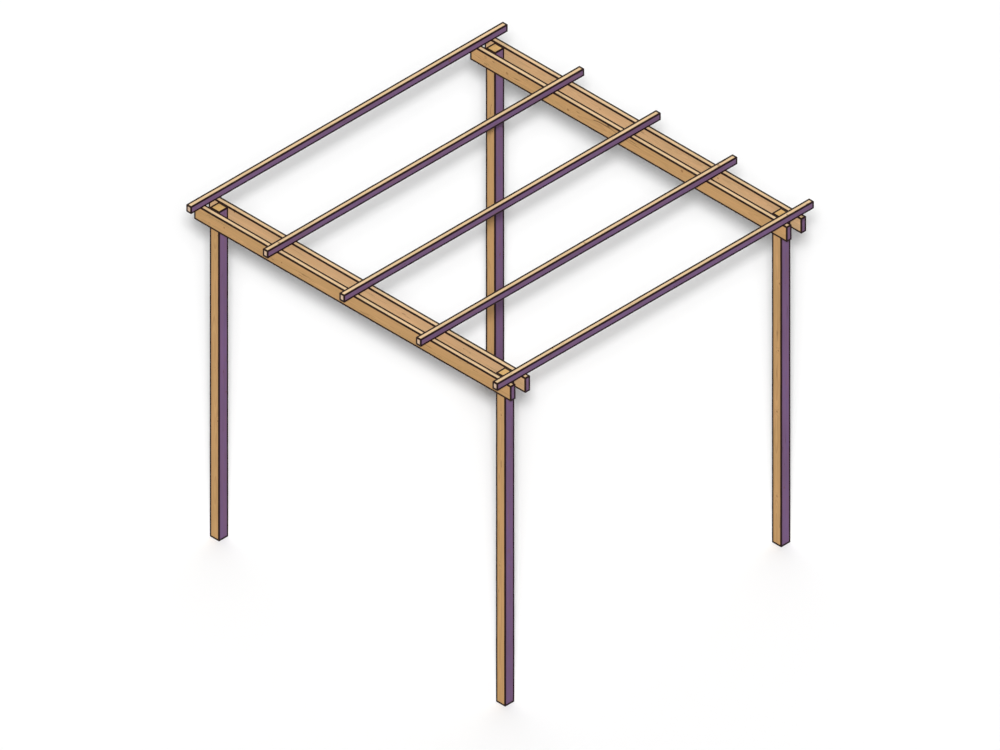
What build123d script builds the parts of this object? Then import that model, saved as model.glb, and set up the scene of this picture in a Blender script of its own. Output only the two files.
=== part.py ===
from build123d import *
import os

# Wooden pergola: four posts, a pair of bearer boards clasping each row of posts,
# and a row of rafters laid across the two pairs.
# Millimetres. The origin is on the ground, in the middle of the four posts.
# +X runs along the bearers, +Y along the rafters, +Z is up.

# Posts, square planed timber standing on the ground
post_side = 90
post_height = 2700
post_arris = 4

# Bearers, boards on edge against the front and the back face of each post
bearer_length = 3000
bearer_thickness = 48
bearer_depth = 123
bearer_overhang = 100

# Rafters, laid across the tops of the bearers
rafter_count = 5
rafter_length = 3000
rafter_width = 48
rafter_depth = 60
rafter_overhang = 100

# Planed boards have rounded long arrises, and every sawn end a light chamfer
board_arris = 3
end_chamfer = 2

# The bearers run past the posts by their overhang, and their tops end level with the post heads
post_x = bearer_length / 2 - bearer_overhang - post_side / 2
bearer_z = post_height - bearer_depth / 2

# The rafters run past the outer bearers by their overhang
outer_bearer_y = rafter_length / 2 - rafter_overhang - bearer_thickness / 2
post_y = outer_bearer_y - (bearer_thickness + post_side) / 2
inner_bearer_y = post_y - (bearer_thickness + post_side) / 2

# The end rafters lie in the middle of the bearers' overhang, and the rest evenly between them
end_rafter_x = (bearer_length - bearer_overhang) / 2
rafter_spacing = 2 * end_rafter_x / (rafter_count - 1)
rafter_z = post_height + rafter_depth / 2


def planed_timber(plane, width, depth, length, arris):
    """A stick centred on the plane and square to it, with rounded arrises and chamfered ends."""
    section = plane * RectangleRounded(width, depth, arris)
    stick = extrude(section, amount=length / 2, both=True)
    ends = stick.faces().filter_by(plane)
    return chamfer(ends.edges(), end_chamfer)


def make_posts():
    """Posts at the four corners, named by row and side."""
    post = planed_timber(Plane.XY, post_side, post_side, post_height, post_arris)
    rows = {"front": -post_y, "back": post_y}
    sides = {"left": -post_x, "right": post_x}
    return {
        f"post_{row}_{side}": Pos(x, y, post_height / 2) * post
        for row, y in rows.items()
        for side, x in sides.items()
    }


def make_bearers():
    """A board on each face of the posts, in the front and in the back row."""
    bearer = planed_timber(Plane.YZ, bearer_thickness, bearer_depth, bearer_length, board_arris)
    rows = {
        "front_beam_outer": -outer_bearer_y,
        "front_beam_inner": -inner_bearer_y,
        "back_beam_inner": inner_bearer_y,
        "back_beam_outer": outer_bearer_y,
    }
    return {name: Pos(0, y, bearer_z) * bearer for name, y in rows.items()}


def make_rafters():
    """Rafters numbered from left to right."""
    rafter = planed_timber(Plane.XZ, rafter_width, rafter_depth, rafter_length, board_arris)
    places = [-end_rafter_x + i * rafter_spacing for i in range(rafter_count)]
    return {f"rafter_{i}": Pos(x, 0, rafter_z) * rafter for i, x in enumerate(places, 1)}


pieces = {**make_posts(), **make_bearers(), **make_rafters()}

os.makedirs("parts", exist_ok=True)
for name, solid in pieces.items():
    export_step(solid, f"parts/{name}.step")
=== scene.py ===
# Looks of the wooden pergola: planed timbers with grain, knots and dark rounded arrises.
# Metres, in the CAD frame: +X along the bearers, +Y along the rafters, +Z up.
import math
import random

import bpy
import numpy as np
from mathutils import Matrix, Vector


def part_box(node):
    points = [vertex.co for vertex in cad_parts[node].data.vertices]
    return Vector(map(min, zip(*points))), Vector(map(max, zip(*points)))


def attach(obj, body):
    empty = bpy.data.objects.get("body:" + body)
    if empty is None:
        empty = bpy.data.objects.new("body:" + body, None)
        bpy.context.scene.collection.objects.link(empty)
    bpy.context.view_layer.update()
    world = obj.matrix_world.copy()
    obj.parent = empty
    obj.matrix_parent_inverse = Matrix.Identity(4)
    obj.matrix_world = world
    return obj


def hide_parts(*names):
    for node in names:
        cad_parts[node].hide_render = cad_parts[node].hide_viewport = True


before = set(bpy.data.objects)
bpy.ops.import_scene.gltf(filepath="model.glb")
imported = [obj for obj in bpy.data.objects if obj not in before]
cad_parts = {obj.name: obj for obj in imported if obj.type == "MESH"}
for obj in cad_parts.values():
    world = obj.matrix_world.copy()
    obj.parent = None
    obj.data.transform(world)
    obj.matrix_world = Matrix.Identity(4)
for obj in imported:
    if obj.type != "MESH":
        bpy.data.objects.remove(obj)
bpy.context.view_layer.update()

MM = 0.001

# Rounded edges of the timbers, and the light chamfers of their ends
POST_ARRIS = 4 * MM
BOARD_ARRIS = 3 * MM
END_CHAMFER = 2 * MM
CHAMFER_INSET = 1.4 * MM
END_TOLERANCE = 0.1 * MM

# How far the planed faces are off true, in slow waves along each timber
FACE_CUT = 0.7 * MM
WAVE_COUNT = 3
WAVE_LENGTHS = (0.25, 1.4)

# How finely the timbers are meshed, and the rings of points on an end, as shares of its size
ARC_STEPS = 4
FACE_STEP = 9 * MM
LENGTH_STEP = 20 * MM
END_RINGS = (0.2, 0.5, 0.8)

# Reach of the dark stain from an arris. On an arris between a face that looks to the front,
# right or top and one that doesn't, the band is shifted on to the first.
STAIN_REACH = 10 * MM
STAIN_SHIFT = 6 * MM
STAIN_BLUR = 1.0 * MM
STAIN_SOAK = 1.2 * MM
STAIN_THINNING = 0.035
BEST_SIDES = (1, -1, 1)

# A face looks along an axis if its unit normal reaches further than this along it
FACING_LIMIT = 0.7

# The boards of a pair have a slot between them, to the back as 1, to the front as -1. Their faces
# on the slot side are a paler tan: painted light, where the slot gets little light.
SLOT_SIDES = {"front_beam_outer": 1, "front_beam_inner": -1,
                   "back_beam_inner": 1, "back_beam_outer": -1}

# Where the pith lies from a timber's middle: within a post, and beside a board or a rafter
POST_PITH = 15 * MM
RAFTER_PITH = (25 * MM, 80 * MM)
BOARD_PITH_ACROSS = (30 * MM, 75 * MM)
BOARD_PITH_DEEP = 30 * MM

# Each timber has its own stretch of the grain, somewhere in this length
GRAIN_LENGTH = 500

# The pith wanders along the log. Its way through the log starts elsewhere in the noise than
# its way across it.
PITH_PACE = 0.8
PITH_WANDER = 55 * MM
PITH_DEEP_START = 50.0

# Growth rings, wider in good years, whose late wood darkens slowly and ends sharply
RING_SPACING = 4.4 * MM
RING_RIPPLE = 6 * MM
RING_RISE = (0.15, 0.86)
RING_FALL = (0.88, 1.0)
YEAR_PACE = 42.0
YEAR_VARY = 11 * MM
FAINTEST_RING = 0.3

# Knots, in rows along the log and whorls round it, squeezed so that they are longer along
# the grain. The rings bend round them.
KNOT_ROW = 0.55
KNOT_WHORL = 0.9
KNOT_SCATTER = 0.7
KNOT_SHARE = 0.45
KNOT_TAPER = 0.13
KNOT_LEAST_TAPER = 0.052
KNOT_LARGEST = 10 * MM
KNOT_SQUEEZE = 0.75
KNOT_WOBBLE = 4 * MM
KNOT_EDGE = (-1.5 * MM, 1.0 * MM)
KNOT_RIM = (0.2 * MM, 1.3 * MM)
KNOT_RINGS = 1.6 * MM
KNOT_REACH = 34 * MM
KNOT_BEND = 8 * MM

# Drying cracks: their widths in the noise that draws them, and where they open
CRACK_WIDTH = 0.010
END_CRACK_WIDTH = 0.022
END_CRACK_SPOKES = 9.0
CRACKED_PATCHES = (0.56, 0.62)

# Features to the metre of each pattern, along the grain and around it
RIPPLE_PACE = (5.0, 32.0)
WOBBLE_PACE = (70.0, 70.0)
CRACK_PACE = (1.3, 46.0)
PATCH_PACE = (2.4, 18.0)
FIBRE_PACE = (14.0, 700.0)
CLOUD_PACE = (1.6, 9.0)
STREAK_PACE = (3.5, 70.0)
SOAK_PACE = (9.0, 260.0)

# How strongly each pattern shows in the stain
LATE_WOOD_SHOWS = 0.24
LATE_WOOD_ON_ENDS = 0.10
LEAST_SHADE = 0.71
CLOUD_SHADE = 0.26
STREAK_SHADE = 0.16
FIBRE_SHADE = 0.16
STREAK_WARMTH = 0.12
CLOUD_COOLNESS = 0.14
KNOT_SHOWS = 0.45
KNOT_RINGS_SHOW = 0.2
KNOT_RIM_SHOWS = 0.55
CRACK_SHOWS = 0.75

# Gloss and relief of the timber
TIMBER_ROUGHNESS = 0.62
LATE_WOOD_POLISH = -0.10
FIBRE_ROUGHNESS = 0.10
TIMBER_SPECULAR = 0.1
RING_RELIEF = 0.5
FIBRE_RELIEF = 0.6
KNOT_RELIEF = 0.5
CRACK_RELIEF = -2.5
RELIEF_STRENGTH = 0.4
RELIEF_HEIGHT = 0.4 * MM

# Plugs over the bolts of each post joint, with a thin dark ring along their rim
PLUG_RADIUS = 10 * MM
PLUG_PROUD = 0.4 * MM
PLUG_RISE = 30 * MM
PLUG_RING = 0.9 * MM
PLUG_PITH_ACROSS = (10 * MM, 40 * MM)
PLUG_PITH_DEEP = 40 * MM

# Skew screws beside the rafters
SCREW_RADIUS = 4.5 * MM
SCREW_HEIGHT = 27 * MM
SCREW_TILT = math.radians(22)
SCREW_PROUD = 1.4 * MM
SCREW_PATCH_PACE = 900.0
SCREW_ROUGHNESS = 0.25
SCREW_PATCH_ROUGHNESS = 0.3
SCREW_RELIEF_STRENGTH = 0.1
SCREW_RELIEF_HEIGHT = 0.1 * MM

# Profiles from the middle out, as radius, height and depth of the lobes of a screw's recess
STUD_STEPS = 36
RECESS_LOBES = 6
PLUG_PROFILE = (
    (0.35 * PLUG_RADIUS, PLUG_PROUD, 0),
    (0.7 * PLUG_RADIUS, PLUG_PROUD, 0),
    (PLUG_RADIUS - 0.6 * MM, PLUG_PROUD, 0),
    (PLUG_RADIUS, 0.1 * MM, 0),
    (PLUG_RADIUS, -2 * MM, 0),
)
SCREW_PROFILE = (
    (1.0 * MM, -0.8 * MM, 0.15 * MM),
    (1.7 * MM, -0.8 * MM, 0.35 * MM),
    (1.8 * MM, -0.7 * MM, 0.35 * MM),
    (1.9 * MM, 0.1 * MM, 0.35 * MM),
    (2.1 * MM, 0.2 * MM, 0.35 * MM),
    (0.75 * SCREW_RADIUS, 0.3 * MM, 0),
    (0.93 * SCREW_RADIUS, 0.2 * MM, 0),
    (SCREW_RADIUS, -0.1 * MM, 0),
    (0.6 * SCREW_RADIUS, -2.2 * MM, 0),
    (0.4 * SCREW_RADIUS, -5 * MM, 0),
)

# The photograph's frame and its isometric view
IMAGE_WIDTH = 1000
IMAGE_HEIGHT = 750
AZIMUTH = math.radians(45)
ELEVATION = math.asin(math.tan(math.radians(30)))
METRES_PER_PIXEL = 6.6963 * MM
ORIGIN_PIXEL = (500.1, 539.2)
CAMERA_DISTANCE = 20
CAMERA_REACH = 100

# Light levels, as shares of what shows a surface at its own colour
KEY_LEVEL = 0.82
KEY_ANGLE = math.radians(1.6)
HALO_LEVEL = 0.50
HALO_ANGLE = math.radians(4.6)
LAMPS_ABOVE_CAMERA = math.radians(1.0)
SKY_LOW = 0.04
SKY_HIGH = 0.08
BACK_GLOW = 2.2

# The glow fades out where a direction's share towards its middle is less than this
GLOW_EDGE = 0.4

# How far the floor reaches from the object
FLOOR_REACH = 60


def srgb(red, green, blue):
    """A colour given as 8-bit screen values, as the linear colour that nodes use."""
    def linear(value):
        value /= 255
        return value / 12.92 if value <= 0.04045 else ((value + 0.055) / 1.055) ** 2.4
    return (linear(red), linear(green), linear(blue), 1.0)


def grey(level):
    """A linear grey."""
    return (level, level, level, 1.0)


TAN = srgb(190, 150, 101)
# Paler tan on the faces inside a board pair's slot: painted light
SLOT_TAN_PAINTED_LIGHT = srgb(205, 170, 128)
# Paler tan on upper faces, and gold on the end grain of the posts' tops, also made paler: painted
# light on the tops
TOP_TAN_PAINTED_LIGHT = srgb(228, 196, 152)
HEAD_GOLD_PAINTED_LIGHT = srgb(216, 175, 111)
# Plum on faces that look left or right: painted shade on those sides
PLUM_PAINTED_SHADE = srgb(111, 85, 121)
CREAM = srgb(216, 188, 162)
ARRIS_BROWN = srgb(22, 3, 4)
KNOT_BROWN = srgb(122, 78, 48)
BARK_BROWN = srgb(78, 48, 32)
CRACK_BROWN = srgb(60, 38, 26)
SCREW_BRONZE = srgb(150, 132, 104)
FLOOR_AS_SEEN = grey(0.955)
FLOOR_IN_BOUNCED_LIGHT = grey(0.45)
WHITE = grey(1.0)


# Shader node shorthand

class Nodes:
    """Adds nodes to one tree. A socket or a plain value can be given for any input."""

    def __init__(self, tree):
        self.tree = tree

    def add(self, kind, **settings):
        node = self.tree.nodes.new(kind)
        for name, value in settings.items():
            setattr(node, name, value)
        return node

    def put(self, socket, value):
        if isinstance(value, bpy.types.NodeSocket):
            self.tree.links.new(value, socket)
        else:
            socket.default_value = value

    def math(self, operation, *values):
        node = self.add("ShaderNodeMath", operation=operation)
        for socket, value in zip(node.inputs, values):
            self.put(socket, value)
        return node.outputs[0]

    def vector(self, operation, *values):
        node = self.add("ShaderNodeVectorMath", operation=operation)
        for socket, value in zip(node.inputs, values):
            self.put(socket, value)
        is_number = operation in ("LENGTH", "DISTANCE", "DOT_PRODUCT")
        return node.outputs["Value" if is_number else "Vector"]

    def split(self, vector):
        node = self.add("ShaderNodeSeparateXYZ")
        self.put(node.inputs[0], vector)
        return node.outputs

    def join(self, x, y, z):
        node = self.add("ShaderNodeCombineXYZ")
        for socket, value in zip(node.inputs, (x, y, z)):
            self.put(socket, value)
        return node.outputs[0]

    def ease(self, value, start, end, low=0.0, high=1.0):
        """Goes smoothly from low to high as the value goes from start to end."""
        node = self.add("ShaderNodeMapRange", interpolation_type="SMOOTHSTEP")
        for name, item in (("Value", value), ("From Min", start), ("From Max", end),
                           ("To Min", low), ("To Max", high)):
            self.put(node.inputs[name], item)
        return node.outputs[0]

    def vary(self, about_half, strength, base):
        """The base, raised or lowered by a noise about one half."""
        return self.math("MULTIPLY_ADD", self.math("SUBTRACT", about_half, 0.5), strength, base)

    def mix(self, factor, a, b, blend="MIX"):
        node = self.add("ShaderNodeMix", data_type="RGBA", blend_type=blend)
        self.put(node.inputs["Factor"], factor)
        self.put(node.inputs[6], a)
        self.put(node.inputs[7], b)
        return node.outputs[2]

    def noise(self, place, detail=2.0, roughness=0.5):
        """Smooth noise about one half, at a point or at a number along one line."""
        node = self.add("ShaderNodeTexNoise")
        on_line = place.type == "VALUE"
        node.noise_dimensions = "1D" if on_line else "3D"
        self.put(node.inputs["W" if on_line else "Vector"], place)
        self.put(node.inputs["Scale"], 1.0)
        self.put(node.inputs["Detail"], detail)
        self.put(node.inputs["Roughness"], roughness)
        return node.outputs["Fac"]

    def stretched_noise(self, place, pace, detail=2.0, roughness=0.5):
        """Noise with its own number of features to the metre along the grain and around it."""
        along, around = pace
        place = self.vector("MULTIPLY", place, (along, around, around))
        return self.noise(place, detail, roughness)

    def hairline(self, field, width):
        """1 on the thin lines where a noise field passes through one half."""
        gap = self.math("ABSOLUTE", self.math("SUBTRACT", field, 0.5))
        return self.ease(gap, 0.0, width, 1.0, 0.0)

    def attribute(self, name, output="Vector"):
        return self.add("ShaderNodeAttribute", attribute_name=name).outputs[output]

    def bump(self, height, strength, distance):
        node = self.add("ShaderNodeBump")
        self.put(node.inputs["Height"], height)
        self.put(node.inputs["Strength"], strength)
        self.put(node.inputs["Distance"], distance)
        return node.outputs[0]


def new_material(name):
    """A material with an empty tree but for its output and one principled shader."""
    material = bpy.data.materials.new(name)
    material.use_nodes = True
    nodes = Nodes(material.node_tree)
    shader = material.node_tree.nodes["Principled BSDF"]
    return material, nodes, shader


# Timber: growth rings about each board's own pith, knots, fibres, cracks and stain, with painted
# light and shade on its faces

class Log:
    """Fields of one log, from the place in it that the grain attribute gives.

    rings goes from 0 in pale early wood to 1 in dark late wood. knot is 1 inside a knot, rim
    on the dark line round it, and cracks in a crack. fibres, clouds and streaks are noise
    about one half.
    """

    def __init__(self, nodes, grain, is_end):
        self.nodes = nodes
        self.grain = grain
        along, across, deep = nodes.split(grain)
        self.along = along
        self.from_pith = nodes.join(0.0, self.wandered(across, 0.0),
                                    self.wandered(deep, PITH_DEEP_START))
        self.reach = nodes.vector("LENGTH", self.from_pith)
        self.knot_gap, self.knot_radius = self.nearest_knot()
        self.knot, self.rim = self.knots()
        self.rings = self.growth_rings()
        self.cracks = self.drying_cracks(is_end)
        self.fibres = nodes.stretched_noise(grain, FIBRE_PACE, 3.0, 0.6)
        self.clouds = nodes.stretched_noise(grain, CLOUD_PACE)
        self.streaks = nodes.stretched_noise(grain, STREAK_PACE)

    def wandered(self, way, start):
        """A place from the pith, which wanders and so draws long arches on the faces."""
        pace = self.nodes.math("MULTIPLY_ADD", self.along, PITH_PACE, start)
        return self.nodes.vary(self.nodes.noise(pace), PITH_WANDER, way)

    def nearest_knot(self):
        """Distance to the axis of the nearest branch, and its radius, which grows outwards."""
        nodes = self.nodes
        outward = nodes.vector("NORMALIZE", self.from_pith)
        around = nodes.vector("MULTIPLY", outward, (0.0, KNOT_WHORL, KNOT_WHORL))
        row = nodes.math("DIVIDE", self.along, KNOT_ROW)
        cell = nodes.vector("ADD", around, nodes.join(row, 0.0, 0.0))
        voronoi = nodes.add("ShaderNodeTexVoronoi", feature="F1")
        nodes.put(voronoi.inputs["Vector"], cell)
        nodes.put(voronoi.inputs["Scale"], 1.0)
        nodes.put(voronoi.inputs["Randomness"], KNOT_SCATTER)
        knot_row, knot_y, knot_z = nodes.split(voronoi.outputs["Position"])
        branch = nodes.vector("NORMALIZE", nodes.join(0.0, knot_y, knot_z))
        turn = nodes.math("MULTIPLY", nodes.vector("DISTANCE", outward, branch), self.reach)
        slide = nodes.math("MULTIPLY", nodes.math("SUBTRACT", row, knot_row),
                           KNOT_SQUEEZE * KNOT_ROW)
        wobble = nodes.math("MULTIPLY", nodes.stretched_noise(self.grain, WOBBLE_PACE, 1.0),
                            KNOT_WOBBLE)
        gap = nodes.math("ADD", nodes.vector("LENGTH", nodes.join(slide, turn, 0.0)), wobble)
        size, chance, _ = nodes.split(voronoi.outputs["Color"])
        taper = nodes.math("MULTIPLY_ADD", size, KNOT_TAPER, KNOT_LEAST_TAPER)
        radius = nodes.math("MINIMUM", nodes.math("MULTIPLY", taper, self.reach), KNOT_LARGEST)
        grows = nodes.math("LESS_THAN", chance, KNOT_SHARE)
        absent = nodes.math("SUBTRACT", 1.0, grows)
        return nodes.math("ADD", gap, absent), radius

    def knots(self):
        """1 inside a knot, and 1 on the dark rim round it."""
        nodes = self.nodes
        past = nodes.math("SUBTRACT", self.knot_gap, self.knot_radius)
        inside = nodes.ease(past, *KNOT_EDGE, 1.0, 0.0)
        rim = nodes.ease(nodes.math("ABSOLUTE", past), *KNOT_RIM, 1.0, 0.0)
        return inside, rim

    def growth_rings(self):
        """0 in pale early wood to 1 in dark late wood, with good and poor years."""
        nodes = self.nodes
        ripple = nodes.stretched_noise(self.grain, RIPPLE_PACE)
        reach = nodes.math("MULTIPLY_ADD", ripple, RING_RIPPLE, self.reach)
        bend = nodes.ease(self.knot_gap, 0.0, KNOT_REACH, KNOT_BEND, 0.0)
        reach = nodes.math("ADD", reach, bend)
        years = nodes.noise(nodes.math("MULTIPLY", reach, YEAR_PACE), 1.0)
        reach = nodes.math("MULTIPLY_ADD", years, YEAR_VARY, reach)
        count = nodes.math("DIVIDE", reach, RING_SPACING)
        year = nodes.add("ShaderNodeTexWhiteNoise", noise_dimensions="1D")
        nodes.put(year.inputs["W"], nodes.math("FLOOR", count))
        strength = nodes.math("MULTIPLY_ADD", year.outputs["Value"], 1 - FAINTEST_RING,
                              FAINTEST_RING)
        phase = nodes.math("FRACT", count)
        rise = nodes.ease(phase, *RING_RISE)
        fall = nodes.ease(phase, *RING_FALL, 1.0, 0.0)
        return nodes.math("MULTIPLY", nodes.math("MULTIPLY", rise, fall), strength)

    def drying_cracks(self, is_end):
        """Fine cracks, along the grain on faces and out from the pith on ends."""
        nodes = self.nodes
        long_field = nodes.stretched_noise(self.grain, CRACK_PACE, 1.0)
        long_line = nodes.hairline(long_field, CRACK_WIDTH)
        _, across, deep = nodes.split(self.from_pith)
        spoke = nodes.math("MULTIPLY", nodes.math("ARCTAN2", deep, across), END_CRACK_SPOKES)
        end_line = nodes.hairline(nodes.noise(spoke, 1.0), END_CRACK_WIDTH)
        is_face = nodes.math("SUBTRACT", 1.0, is_end)
        line = nodes.math("MAXIMUM", nodes.math("MULTIPLY", end_line, is_end),
                          nodes.math("MULTIPLY", long_line, is_face))
        patches = nodes.stretched_noise(self.grain, PATCH_PACE, 1.0)
        return nodes.math("MULTIPLY", line, nodes.ease(patches, *CRACKED_PATCHES))


def stain_with_painted_light_and_shade(nodes, facing, best, is_end):
    """Plum on faces that look left or right as painted shade, paler as painted light on top and
    inside a board pair's slot, tan elsewhere, and ends of their own.
    """
    sideways, lengthways, level = facing
    upward = nodes.math("MULTIPLY", level, best)
    # A paler tan on the faces inside a board pair's slot: painted light
    colour = nodes.mix(nodes.attribute("slot_side", "Fac"), TAN, SLOT_TAN_PAINTED_LIGHT)
    # Upper faces are paler, tan or gold on end grain: painted light on the tops
    colour = nodes.mix(upward, colour, nodes.mix(is_end, TOP_TAN_PAINTED_LIGHT, HEAD_GOLD_PAINTED_LIGHT))
    # Faces that look left or right are plum: painted shade
    colour = nodes.mix(sideways, colour, PLUM_PAINTED_SHADE)
    return nodes.mix(nodes.math("MULTIPLY", lengthways, is_end), colour, CREAM)


def grained_colour(nodes, log, colour, is_end):
    """The stain over the wood: darker in late wood, uneven, with its knots and cracks."""
    late = nodes.math("MULTIPLY_ADD", is_end, LATE_WOOD_ON_ENDS, LATE_WOOD_SHOWS)
    colour = nodes.mix(nodes.math("MULTIPLY", log.rings, late), colour, KNOT_BROWN)
    shade = nodes.math("MULTIPLY_ADD", log.clouds, CLOUD_SHADE, LEAST_SHADE)
    shade = nodes.math("MULTIPLY_ADD", log.streaks, STREAK_SHADE, shade)
    shade = nodes.math("MULTIPLY_ADD", log.fibres, FIBRE_SHADE, shade)
    warm = nodes.vary(log.streaks, STREAK_WARMTH, shade)
    cool = nodes.vary(log.clouds, CLOUD_COOLNESS, shade)
    colour = nodes.mix(1.0, colour, nodes.join(warm, shade, cool), "MULTIPLY")
    knot_rings = nodes.math("FRACT", nodes.math("DIVIDE", log.knot_gap, KNOT_RINGS))
    depth = nodes.math("MULTIPLY_ADD", knot_rings, KNOT_RINGS_SHOW, KNOT_SHOWS)
    colour = nodes.mix(nodes.math("MULTIPLY", log.knot, depth), colour, KNOT_BROWN)
    colour = nodes.mix(nodes.math("MULTIPLY", log.rim, KNOT_RIM_SHOWS), colour, BARK_BROWN)
    return nodes.mix(nodes.math("MULTIPLY", log.cracks, CRACK_SHOWS), colour, CRACK_BROWN)


def arris_stain(nodes, facing, best, log):
    """1 in the dark band along each arris, whose edge soaks a little way along the fibres."""
    gaps = nodes.split(nodes.attribute("gap"))
    sides = nodes.split(nodes.attribute("side"))
    nearest = 1.0
    for own, gap, side in zip(facing, gaps, sides):
        shift = nodes.math("MULTIPLY", nodes.math("SUBTRACT", best, side), STAIN_SHIFT)
        past = nodes.math("SUBTRACT", nodes.math("ADD", gap, own), shift)
        nearest = nodes.math("MINIMUM", past, nearest)
    edge = nodes.vary(nodes.stretched_noise(log.grain, SOAK_PACE), STAIN_SOAK, nearest)
    band = nodes.ease(edge, STAIN_REACH - STAIN_BLUR, STAIN_REACH + STAIN_BLUR, 1.0, 0.0)
    cover = nodes.math("MULTIPLY_ADD", log.streaks, -STAIN_THINNING, 1.0)
    return nodes.math("MULTIPLY", band, cover)


def timber_roughness(nodes, log):
    """Smoother in the hard late wood, and uneven from fibre to fibre."""
    roughness = nodes.math("MULTIPLY_ADD", log.rings, LATE_WOOD_POLISH, TIMBER_ROUGHNESS)
    return nodes.math("MULTIPLY_ADD", log.fibres, FIBRE_ROUGHNESS, roughness)


def timber_relief(nodes, log):
    """Late wood, fibres and knots stand up a little, and cracks are cut in."""
    height = nodes.math("MULTIPLY", log.fibres, FIBRE_RELIEF)
    height = nodes.math("MULTIPLY_ADD", log.rings, RING_RELIEF, height)
    height = nodes.math("MULTIPLY_ADD", log.knot, KNOT_RELIEF, height)
    height = nodes.math("MULTIPLY_ADD", log.cracks, CRACK_RELIEF, height)
    return nodes.bump(height, RELIEF_STRENGTH, RELIEF_HEIGHT)


def timber_material():
    """One finish for every timber, over the grain of its own log: a tan stain, with painted shade
    on the sides and painted light on the tops and in the slots.
    """
    material, nodes, shader = new_material("planed_timber")
    is_end = nodes.attribute("end", "Fac")
    log = Log(nodes, nodes.attribute("grain"), is_end)

    # Which axis a face looks along, and whether it looks to the front, right or top
    normal = nodes.add("ShaderNodeNewGeometry").outputs["True Normal"]
    facing = [nodes.math("GREATER_THAN", nodes.math("ABSOLUTE", way), FACING_LIMIT)
              for way in nodes.split(normal)]
    best = nodes.math("GREATER_THAN", nodes.vector("DOT_PRODUCT", normal, BEST_SIDES), 0.0)

    # Tan stain, with painted shade on the sides and painted light on the tops and in the slots
    colour = stain_with_painted_light_and_shade(nodes, facing, best, is_end)
    colour = grained_colour(nodes, log, colour, is_end)
    colour = nodes.mix(arris_stain(nodes, facing, best, log), colour, ARRIS_BROWN)
    nodes.put(shader.inputs["Base Color"], colour)
    nodes.put(shader.inputs["Roughness"], timber_roughness(nodes, log))
    nodes.put(shader.inputs["Specular IOR Level"], TIMBER_SPECULAR)
    nodes.put(shader.inputs["Normal"], timber_relief(nodes, log))
    return material


def screw_material():
    """Bronzed steel, duller and darker in patches."""
    material, nodes, shader = new_material("bronzed_steel")
    place = nodes.add("ShaderNodeTexCoord").outputs["Object"]
    patches = nodes.stretched_noise(place, (SCREW_PATCH_PACE, SCREW_PATCH_PACE), 3.0)
    roughness = nodes.math("MULTIPLY_ADD", patches, SCREW_PATCH_ROUGHNESS, SCREW_ROUGHNESS)
    relief = nodes.bump(patches, SCREW_RELIEF_STRENGTH, SCREW_RELIEF_HEIGHT)
    nodes.put(shader.inputs["Base Color"], nodes.mix(patches, SCREW_BRONZE, CRACK_BROWN))
    nodes.put(shader.inputs["Roughness"], roughness)
    nodes.put(shader.inputs["Metallic"], 1.0)
    nodes.put(shader.inputs["Normal"], relief)
    return material


# Timber meshes

def spaced(start, end, step):
    """Evenly spaced values from start to end, about a step apart, without the end."""
    count = max(1, round(abs(end - start) / step))
    return [start + (end - start) * i / count for i in range(count)]


def rounded_section(half_across, half_deep, arris):
    """Points round a rectangle with rounded corners."""
    quarter = math.radians(90)
    corners = [(sx * (half_across - arris), sy * (half_deep - arris))
               for sx, sy in ((1, -1), (1, 1), (-1, 1), (-1, -1))]

    def on_arc(centre, turn):
        return (centre[0] + arris * math.cos(turn), centre[1] + arris * math.sin(turn))

    points = []
    for index, centre in enumerate(corners):
        start = quarter * (index - 1)
        points += [on_arc(centre, start + quarter * step / ARC_STEPS) for step in range(ARC_STEPS)]
        here = on_arc(centre, start + quarter)
        there = on_arc(corners[(index + 1) % 4], start + quarter)
        points += [(here[0] + (there[0] - here[0]) * share, here[1] + (there[1] - here[1]) * share)
                   for share in spaced(0, 1, FACE_STEP / math.dist(here, there))]
    return np.array(points)


def slow_wave(at, rng):
    """A smooth wave from 0 to 1 along a timber, of a few random lengths."""
    total = 0
    for _ in range(WAVE_COUNT):
        length = rng.uniform(*WAVE_LENGTHS)
        start = rng.uniform(0, 2 * math.pi)
        total = total + np.sin(2 * math.pi * at / length + start)
    return (total / WAVE_COUNT + 1) / 2


def stick_mesh(size, arris):
    """Points and faces of a stick along its own first axis, centred on the origin."""
    length = size[0]
    section = rounded_section(size[1] / 2, size[2] / 2, arris)
    inset = section - np.sign(section) * CHAMFER_INSET
    shrunk = [inset * share for share in END_RINGS]
    stations = spaced(END_CHAMFER, length - END_CHAMFER, LENGTH_STEP) + [length - END_CHAMFER]
    loops = ([(0, ring) for ring in shrunk] + [(0, inset)] + [(at, section) for at in stations]
             + [(length, inset)] + [(length, ring) for ring in reversed(shrunk)])

    count = len(section)
    points = np.zeros((len(loops) * count + 2, 3))
    for index, (at, ring) in enumerate(loops):
        rows = slice(index * count, (index + 1) * count)
        points[rows, 0] = at - length / 2
        points[rows, 1:] = ring
    points[-2] = (-length / 2, 0, 0)
    points[-1] = (length / 2, 0, 0)

    faces = []
    for index in range(len(loops) - 1):
        a, b = index * count, (index + 1) * count
        faces += [(a + i, a + (i + 1) % count, b + (i + 1) % count, b + i) for i in range(count)]

    # The middles of both ends are closed with a fan each
    last = (len(loops) - 1) * count
    faces += [((i + 1) % count, i, len(points) - 2) for i in range(count)]
    faces += [(last + i, last + (i + 1) % count, len(points) - 1) for i in range(count)]
    return points, faces


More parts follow.
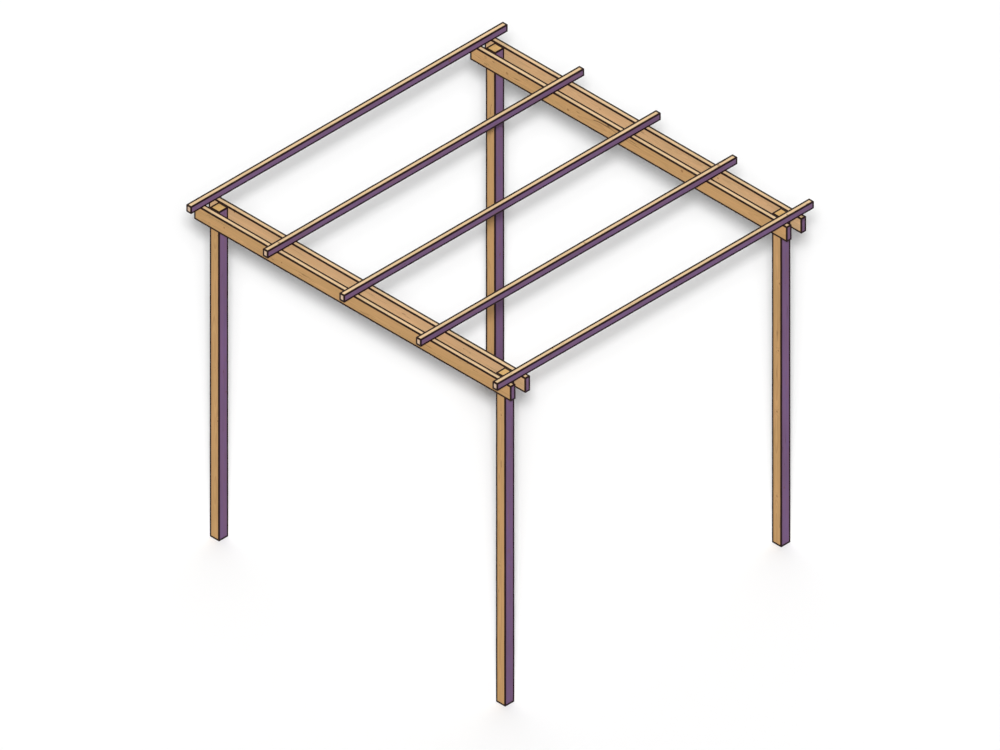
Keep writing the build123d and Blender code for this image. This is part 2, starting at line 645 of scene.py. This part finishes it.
def make_mesh(name, points, faces, attributes, material):
    """A smooth mesh object with its point attributes, which rides on the one body."""
    mesh = bpy.data.meshes.new(name)
    mesh.from_pydata(points.tolist(), [], faces)
    for label, values in attributes.items():
        kind, field = ("FLOAT_VECTOR", "vector") if values.ndim == 2 else ("FLOAT", "value")
        layer = mesh.attributes.new(label, kind, "POINT")
        layer.data.foreach_set(field, values.astype(np.float32).ravel())
    mesh.materials.append(material)
    mesh.shade_smooth()
    mesh.update()
    piece = bpy.data.objects.new(name, mesh)
    bpy.context.scene.collection.objects.link(piece)
    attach(piece, "root")
    return piece


def timber(node, along, arris, pith, material, rng):
    """A dense mesh of one timber in place of its CAD node.

    along is the axis that it runs on, and pith the place of its log's pith from its middle.
    """
    low, high = (np.array(corner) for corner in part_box(node))
    across, deep = [axis for axis in range(3) if axis != along]
    axes = [along, across, deep]
    size = (high - low)[axes]
    local, faces = stick_mesh(size, arris)

    # With along, across and deep as Y, X and Z the stick is mirrored, so its faces are flipped
    if along == 1:
        faces = [face[::-1] for face in faces]

    # Distance to the nearest face across each axis of the room, and whether it is a best side
    gap = np.zeros_like(local)
    gap[:, axes] = size / 2 - np.abs(local)
    side = np.zeros_like(local)
    side[:, axes] = local
    side = (side * BEST_SIDES > 0).astype(float)
    end = (np.abs(local[:, 0]) > size[0] / 2 - END_TOLERANCE).astype(float)
    grain = local - np.array([0, *pith])
    grain[:, 0] += rng.uniform(0, GRAIN_LENGTH)

    # Planed faces are cut back a little, more in some places than in others
    for column in (1, 2):
        half = size[column] / 2
        for way in (-1, 1):
            cut = FACE_CUT * slow_wave(local[:, 0], rng)
            here = local[:, column] * way > 0
            local[here, column] *= 1 - cut[here] / half

    placed = np.zeros_like(local)
    placed[:, axes] = local
    # Points on a board's slot side, which get the paler tan of painted light
    slot_side = (placed[:, 1] * SLOT_SIDES.get(node, 0) > 0).astype(float)
    placed += (low + high) / 2
    attributes = {"gap": gap, "side": side, "end": end, "grain": grain, "slot_side": slot_side}
    piece = make_mesh(f"timber_{node}", placed, faces, attributes, material)
    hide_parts(node)


def make_timbers(material):
    """Posts sawn round the pith, and boards and rafters sawn beside it."""
    for number, node in enumerate(sorted(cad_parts)):
        rng = random.Random(number)
        if node.startswith("post"):
            along, arris = 2, POST_ARRIS
            pith = (rng.uniform(-POST_PITH, POST_PITH), rng.uniform(-POST_PITH, POST_PITH))
        elif node.startswith("rafter"):
            along, arris = 1, BOARD_ARRIS
            turn = rng.uniform(0, 2 * math.pi)
            reach = rng.uniform(*RAFTER_PITH)
            pith = (reach * math.cos(turn), reach * math.sin(turn))
        else:
            along, arris = 0, BOARD_ARRIS
            way = rng.choice((-1, 1))
            pith = (way * rng.uniform(*BOARD_PITH_ACROSS),
                    rng.uniform(-BOARD_PITH_DEEP, BOARD_PITH_DEEP))
        timber(node, along, arris, pith, material, rng)


# Fixings

def stud_shape(profile):
    """Points and faces of one stud that looks up from the origin."""
    turns = np.arange(STUD_STEPS) * 2 * math.pi / STUD_STEPS
    points = []
    for radius, height, lobe in profile:
        wave = radius + lobe * np.cos(RECESS_LOBES * turns)
        points += [Vector((r * math.cos(t), r * math.sin(t), height)) for r, t in zip(wave, turns)]
    faces = []
    for ring in range(len(profile) - 1):
        a, b = ring * STUD_STEPS, (ring + 1) * STUD_STEPS
        faces += [(a + i, b + i, b + (i + 1) % STUD_STEPS, a + (i + 1) % STUD_STEPS)
                  for i in range(STUD_STEPS)]
    faces += [(len(points), i, (i + 1) % STUD_STEPS) for i in range(STUD_STEPS)]
    points.append(Vector((0, 0, profile[0][1])))
    return points, faces


def studs(name, profile, places, material, rng):
    """One mesh of many like studs. Each place is a point and the way that the stud looks out."""
    shape, pattern = stud_shape(profile)

    # The stain's edge, where gap is STAIN_REACH, lies a ring's width inside the rim
    widest = max(radius for radius, _, _ in profile)
    gap = [STAIN_REACH - PLUG_RING + widest - point.xy.length for point in shape]

    points = []
    faces = []
    grain = []
    side = []
    for place, outward in places:
        faces += [[len(points) + i for i in face] for face in pattern]
        turn = Vector(outward).to_track_quat("Z", "Y")
        turned = [turn @ point for point in shape]
        points += [Vector(place) + point for point in turned]
        from_pith = np.array([rng.uniform(0, GRAIN_LENGTH), rng.uniform(*PLUG_PITH_ACROSS),
                              rng.uniform(-PLUG_PITH_DEEP, PLUG_PITH_DEEP)])
        grain += [from_pith + np.array(point) for point in turned]
        side += [float(np.dot(outward, BEST_SIDES) > 0)] * len(shape)
    attributes = {
        "gap": np.tile(np.array(gap * len(places))[:, None], 3),
        "side": np.tile(np.array(side)[:, None], 3),
        "end": np.zeros(len(points)),
        "slot_side": np.zeros(len(points)),
        "grain": np.array(grain),
    }
    return make_mesh(name, np.array(points), faces, attributes, material)


def middle(node):
    """The middle of a node's box."""
    return [(low + high) / 2 for low, high in zip(*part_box(node))]


def make_plugs(material):
    """Two plugs, one above the other, where each board is bolted to a post."""
    places = []
    for board, slot_side in SLOT_SIDES.items():
        outward = (0, -slot_side, 0)
        low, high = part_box(board)
        face_y = low[1] if slot_side > 0 else high[1]
        for post in ("post_front_left", "post_front_right"):
            places += [((middle(post)[0], face_y, middle(board)[2] + rise), outward)
                       for rise in (-PLUG_RISE, PLUG_RISE)]
    plugs = studs("bolt_plugs", PLUG_PROFILE, places, material, random.Random(101))


def make_screws(material):
    """A skew screw beside each rafter over each board, sunk on the lower side of its head."""
    places = []
    outward = (-math.cos(SCREW_TILT), 0, math.sin(SCREW_TILT))
    for rafter in sorted(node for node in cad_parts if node.startswith("rafter")):
        low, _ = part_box(rafter)
        for board in SLOT_SIDES:
            place = (low[0] - SCREW_PROUD, middle(board)[1], low[2] + SCREW_HEIGHT)
            places.append((place, outward))
    studs("skew_screws", SCREW_PROFILE, places, material, random.Random(102))


# Studio

def towards(azimuth, elevation):
    """The direction from the object to a viewer or lamp there."""
    flat = math.cos(elevation)
    return Vector((math.sin(azimuth) * flat, -math.cos(azimuth) * flat, math.sin(elevation)))


def seen_directly(nodes):
    """1 for a ray that shows a surface, straight or through a reflection, and 0 for its light."""
    path = nodes.add("ShaderNodeLightPath").outputs
    seen = nodes.math("MAXIMUM", path["Is Camera Ray"], path["Is Glossy Ray"])
    return nodes.math("MAXIMUM", seen, path["Is Transmission Ray"])


def make_world():
    """White to look at. For light, a weak sky with a glow behind the object, so no side is dark."""
    world = bpy.data.worlds.new("studio")
    bpy.context.scene.world = world
    world.use_nodes = True
    world.node_tree.nodes.clear()
    nodes = Nodes(world.node_tree)
    direction = nodes.add("ShaderNodeTexCoord").outputs["Generated"]
    height = nodes.split(direction)[2]
    behind = tuple(towards(AZIMUTH + math.pi, 0.0))
    closeness = nodes.vector("DOT_PRODUCT", direction, behind)
    glow = nodes.ease(closeness, GLOW_EDGE, 1.0, 0.0, BACK_GLOW)
    level = nodes.math("ADD", glow, nodes.ease(height, 0.0, 1.0, SKY_LOW, SKY_HIGH))
    sky = nodes.add("ShaderNodeBackground")
    nodes.put(sky.inputs["Color"], WHITE)
    nodes.put(sky.inputs["Strength"], level)
    backdrop = nodes.add("ShaderNodeBackground")
    nodes.put(backdrop.inputs["Color"], WHITE)
    mix = nodes.add("ShaderNodeMixShader")
    nodes.put(mix.inputs[0], seen_directly(nodes))
    nodes.put(mix.inputs[1], sky.outputs[0])
    nodes.put(mix.inputs[2], backdrop.outputs[0])
    output = nodes.add("ShaderNodeOutputWorld")
    nodes.put(output.inputs["Surface"], mix.outputs[0])


def make_floor():
    """White where it is seen, and greyer in the light that it throws back."""
    mesh = bpy.data.meshes.new("floor")
    near, far = -FLOOR_REACH, FLOOR_REACH
    corners = [(near, near, 0), (far, near, 0), (far, far, 0), (near, far, 0)]
    mesh.from_pydata(corners, [], [(0, 1, 2, 3)])
    material, nodes, shader = new_material("floor_white")
    colour = nodes.mix(seen_directly(nodes), FLOOR_IN_BOUNCED_LIGHT, FLOOR_AS_SEEN)
    nodes.put(shader.inputs["Base Color"], colour)
    nodes.put(shader.inputs["Roughness"], 1.0)
    nodes.put(shader.inputs["Specular IOR Level"], 0.0)
    mesh.materials.append(material)
    floor = bpy.data.objects.new("floor", mesh)
    bpy.context.scene.collection.objects.link(floor)


def make_lamps():
    """Soft lamps just above the camera, whose shadows peep out round the timbers."""
    source = towards(AZIMUTH, ELEVATION + LAMPS_ABOVE_CAMERA)
    for name, level, angle in (("key", KEY_LEVEL, KEY_ANGLE), ("halo", HALO_LEVEL, HALO_ANGLE)):
        light = bpy.data.lights.new(name, "SUN")
        light.energy = level * math.pi
        light.angle = angle
        lamp = bpy.data.objects.new(name, light)
        lamp.rotation_euler = source.to_track_quat("Z", "Y").to_euler()
        bpy.context.scene.collection.objects.link(lamp)


def make_camera():
    """The photograph's isometric view, with the middle of the ground at its own pixel."""
    data = bpy.data.cameras.new("camera")
    data.type = "ORTHO"
    data.ortho_scale = IMAGE_WIDTH * METRES_PER_PIXEL
    data.clip_end = CAMERA_REACH
    camera = bpy.data.objects.new("camera", data)
    back = towards(AZIMUTH, ELEVATION)
    turn = back.to_track_quat("Z", "Y")
    right = turn @ Vector((1, 0, 0))
    up = turn @ Vector((0, 1, 0))
    aside = (IMAGE_WIDTH / 2 - ORIGIN_PIXEL[0]) * METRES_PER_PIXEL
    above = (ORIGIN_PIXEL[1] - IMAGE_HEIGHT / 2) * METRES_PER_PIXEL
    camera.location = back * CAMERA_DISTANCE + right * aside + up * above
    camera.rotation_euler = turn.to_euler()
    bpy.context.scene.collection.objects.link(camera)
    bpy.context.scene.camera = camera


make_camera()
make_world()
make_floor()
make_lamps()
stained_timber = timber_material()
make_timbers(stained_timber)
make_plugs(stained_timber)
make_screws(screw_material())
bpy.context.scene.view_settings.view_transform = "Standard"
